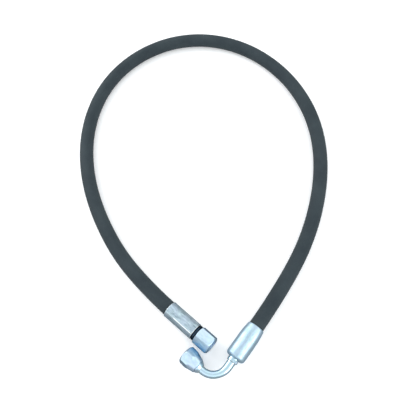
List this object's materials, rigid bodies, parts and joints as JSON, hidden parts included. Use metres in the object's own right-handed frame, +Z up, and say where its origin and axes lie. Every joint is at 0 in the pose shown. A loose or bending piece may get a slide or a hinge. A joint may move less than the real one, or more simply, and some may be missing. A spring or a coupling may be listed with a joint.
{
  "type": "hydraulic hose assembly",
  "caption": "Wire-braided rubber hydraulic hose in an open loop, with crimped ferrules, a straight end and a swept right-angle end, each with a loose hexagonal swivel nut.",
  "frame": {"origin": "on the floor, under the middle of the box round the two end fittings", "axes": "+Z up from the floor the assembly lies on; +Y from the fittings towards the top of the hose loop; +X to the side of the elbow fitting"},
  "size_m": [0.3595, 0.5303, 0.0248],
  "materials": {
    "cover_rubber": "matt synthetic rubber with a faint cloth-wrap texture",
    "liner_rubber": "smooth nitrile rubber",
    "braid_steel": "brass-coated high-tensile wire braid",
    "plated_ferrule": "clear zinc plating, marked lengthwise by the crimping dies",
    "plated_fitting": "bright clear zinc plating",
    "plated_nut": "bright clear zinc plating on machined flats",
    "spring_wire": "drawn spring wire",
    "braze_metal": "braze fillet under clear zinc plating",
    "seal_rubber": "smooth nitrile O-ring"
  },
  "bodies": {
    "root": {"hose_cover": "cover_rubber", "hose_outer_braid": "braid_steel", "hose_cushion_layer": "liner_rubber", "hose_inner_braid": "braid_steel", "hose_inner_tube": "liner_rubber", "straight_ferrule": "plated_ferrule", "straight_nipple": "plated_fitting", "straight_o_ring": "seal_rubber", "elbow_ferrule": "plated_ferrule", "elbow_nipple": "plated_fitting", "elbow_tube": "plated_fitting", "elbow_cone": "plated_fitting", "elbow_tail_braze": "braze_metal", "elbow_cone_braze": "braze_metal", "elbow_o_ring": "seal_rubber"},
    "straight_wire": {"straight_retaining_wire": "spring_wire"},
    "straight_swivel": {"straight_nut": "plated_nut"},
    "elbow_wire": {"elbow_retaining_wire": "spring_wire"},
    "elbow_swivel": {"elbow_nut": "plated_nut"}
  },
  "joints": [
    {"name": "straight_nut_float", "type": "slide", "parent": "root", "child": "straight_wire", "axis": [0.7524, -0.6587, 0], "range_m": [-0.00025, 0.00025]},
    {"name": "straight_nut_spin", "type": "hinge", "parent": "straight_wire", "child": "straight_swivel", "pos_m": [-0.01511, 0.00339, 0.0124], "axis": [0.7524, -0.6587, 0], "continuous": true},
    {"name": "elbow_nut_float", "type": "slide", "parent": "root", "child": "elbow_wire", "axis": [-0.7242, 0.6896, 0], "range_m": [-0.00025, 0.00025]},
    {"name": "elbow_nut_spin", "type": "hinge", "parent": "elbow_wire", "child": "elbow_swivel", "pos_m": [-0.02043, -0.02913, 0.0124], "axis": [-0.7242, 0.6896, 0], "continuous": true}
  ]
}
